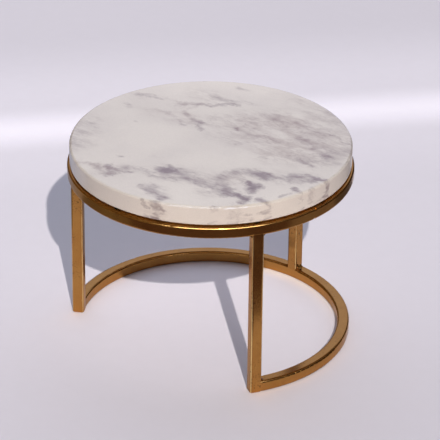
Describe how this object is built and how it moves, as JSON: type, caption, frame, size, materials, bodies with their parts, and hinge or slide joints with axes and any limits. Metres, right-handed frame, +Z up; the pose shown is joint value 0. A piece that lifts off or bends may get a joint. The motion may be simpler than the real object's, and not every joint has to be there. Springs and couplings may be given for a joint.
{
  "type": "nesting side table",
  "caption": "Round low table: a thick marble disc rests on a square-bar brass ring with upright legs and an arc base, open at the front so that a smaller table slides under.",
  "frame": {"origin": "on the floor, on the axis of the round top", "axes": "+Z up, the open side of the base faces -Y, the back leg stands on +Y, +X to the right seen from the open side"},
  "size_m": [0.305, 0.305, 0.223],
  "materials": {
    "marble": "satin",
    "antique_brass": "satin",
    "clear_pad": "satin"
  },
  "bodies": {
    "frame": {"top_ring": "antique_brass", "ring_seam_weld": "antique_brass", "base_arc": "antique_brass", "back_leg": "antique_brass", "right_leg": "antique_brass", "left_leg": "antique_brass", "back_leg_top_weld": "antique_brass", "right_leg_top_weld": "antique_brass", "left_leg_top_weld": "antique_brass", "back_leg_foot_weld": "antique_brass", "right_leg_foot_weld": "antique_brass", "left_leg_foot_weld": "antique_brass", "top_pad_1": "clear_pad", "top_pad_2": "clear_pad", "top_pad_3": "clear_pad", "top_pad_4": "clear_pad", "top_pad_5": "clear_pad", "top_pad_6": "clear_pad"},
    "top": {"marble_top": "marble"}
  },
  "joints": [
    {"name": "top_lift", "type": "slide", "parent": "frame", "child": "top", "axis": [0, 0, 1], "range_m": [0, 0.1]}
  ]
}
